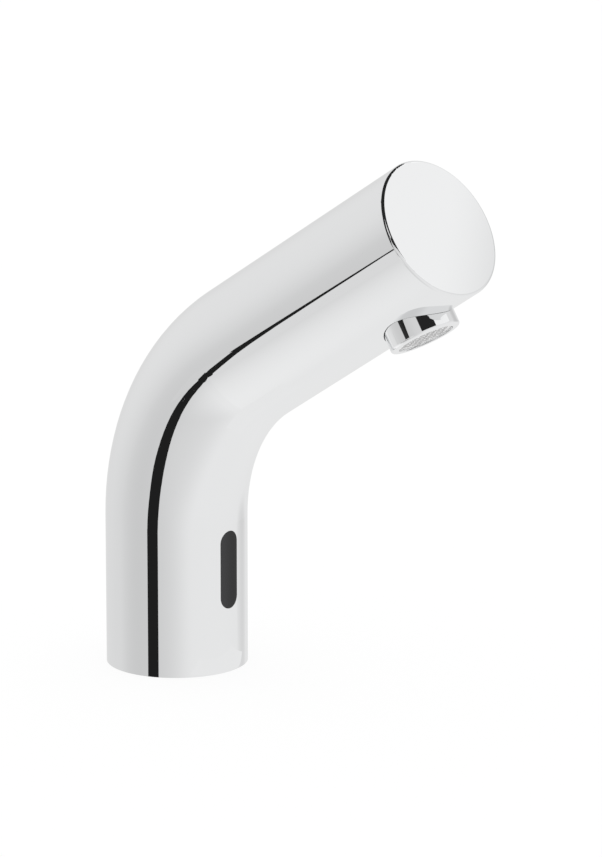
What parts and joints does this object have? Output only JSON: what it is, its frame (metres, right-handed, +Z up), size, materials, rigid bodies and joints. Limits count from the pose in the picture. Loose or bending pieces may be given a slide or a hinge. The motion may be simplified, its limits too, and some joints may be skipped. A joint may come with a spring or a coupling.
{
  "type": "sensor tap",
  "caption": "Deck-mounted sensor tap: round tube that stands up, bends forward and ends in a flat disc, with a dark sensor window on its front and a short round aerator under the tip.",
  "frame": {"origin": "centre of the foot's underside, on the deck that the tap stands on", "axes": "+Z up along the upright tube, -Y forwards to the spout's tip, X across; mirror plane of the outside at X = 0"},
  "size_m": [0.05, 0.1573, 0.2432],
  "materials": {
    "polished_chrome": "mirror polished",
    "dark_lens": "polished, infrared-clear",
    "black_rubber": "matt",
    "grey_silicone": "matt",
    "black_plastic": "moulded, fine grain",
    "circuit_board": "lacquered",
    "clear_resin": "clear moulded",
    "dark_resin": "dark moulded",
    "spring_steel": "bright drawn",
    "stainless_steel": "turned",
    "zinc_plated_steel": "zinc plated",
    "bare_brass": "turned",
    "grey_plastic": "moulded",
    "white_plastic": "moulded",
    "blue_plastic": "moulded",
    "bobbin_plastic": "glass-filled",
    "copper_wire": "enamelled copper",
    "grey_jacket": "soft jacket"
  },
  "bodies": {
    "tap": {"spout_body": "polished_chrome", "end_cap": "polished_chrome", "end_cap_oring": "black_rubber", "sensor_window": "dark_lens", "window_gasket": "grey_silicone", "sensor_housing": "black_plastic", "sensor_back_cover": "black_plastic", "sensor_board": "circuit_board", "ir_emitter": "clear_resin", "ir_receiver": "dark_resin", "sensor_clip": "spring_steel", "coil_lead": "grey_jacket", "spout_tube": "white_plastic", "spout_tube_orings": "black_rubber", "base_block": "bare_brass", "threaded_shank": "bare_brass", "valve_screws": "stainless_steel", "base_gasket": "black_rubber", "lead_gland": "black_rubber", "body_lock_screw": "stainless_steel", "inlet_strainer": "white_plastic", "check_valve_cage": "white_plastic", "check_valve_spring": "spring_steel", "valve_block": "black_plastic", "valve_face_oring": "black_rubber", "diaphragm": "black_rubber", "valve_bonnet": "black_plastic", "plunger_guide_tube": "stainless_steel", "plunger_spring": "spring_steel", "magnet_pole": "stainless_steel", "coil_bobbin": "bobbin_plastic", "coil_winding": "copper_wire", "coil_yoke": "zinc_plated_steel", "coil_nut": "zinc_plated_steel"},
    "aerator_seal": {"aerator_washer": "black_rubber"},
    "aerator": {"aerator_housing": "polished_chrome", "aerator_insert": "grey_plastic", "aerator_screen": "stainless_steel"},
    "fixing_washers": {"fixing_rubber_washer": "black_rubber", "fixing_steel_washer": "stainless_steel"},
    "fixing_nut": {"fixing_nut": "bare_brass"},
    "plunger": {"plunger": "stainless_steel", "plunger_seal": "black_rubber"},
    "diaphragm_insert": {"diaphragm_insert": "white_plastic"},
    "check_poppet": {"check_valve_poppet": "blue_plastic"}
  },
  "joints": [
    {"name": "aerator_advance", "type": "slide", "parent": "tap", "child": "aerator_seal", "axis": [0, -0.5388, -0.8425], "range_m": [0, 0.006]},
    {"name": "aerator_turn", "type": "hinge", "parent": "aerator_seal", "child": "aerator", "pos_m": [0, -0.09786, 0.15685], "axis": [0, -0.5388, -0.8425], "range_deg": [0, 2160]},
    {"name": "fixing_travel", "type": "slide", "parent": "tap", "child": "fixing_washers", "axis": [0, 0, 1], "range_m": [-0.0105, 0.024]},
    {"name": "fixing_nut_turn", "type": "hinge", "parent": "fixing_washers", "child": "fixing_nut", "pos_m": [0, 0, -0.035], "axis": [0, 0, 1], "range_deg": [-2520, 5760]},
    {"name": "plunger_lift", "type": "slide", "parent": "tap", "child": "plunger", "axis": [0, 0, 1], "range_m": [0, 0.002], "stiffness_N_per_m": 250, "springref_m": -0.003, "deforming": ["plunger_spring"]},
    {"name": "diaphragm_lift", "type": "slide", "parent": "tap", "child": "diaphragm_insert", "axis": [0, 0, 1], "range_m": [0, 0.0015], "deforming": ["diaphragm"]},
    {"name": "check_lift", "type": "slide", "parent": "tap", "child": "check_poppet", "axis": [0, 0, 1], "range_m": [0, 0.0018], "stiffness_N_per_m": 60, "springref_m": -0.003, "deforming": ["check_valve_spring"]}
  ],
  "couplings": [
    {"joint": "aerator_advance", "follows": "aerator_turn", "m_per_rad": 0.00015915},
    {"joint": "fixing_travel", "follows": "fixing_nut_turn", "m_per_rad": 0.00023873},
    {"joint": "diaphragm_lift", "follows": "plunger_lift", "ratio": 0.75}
  ]
}
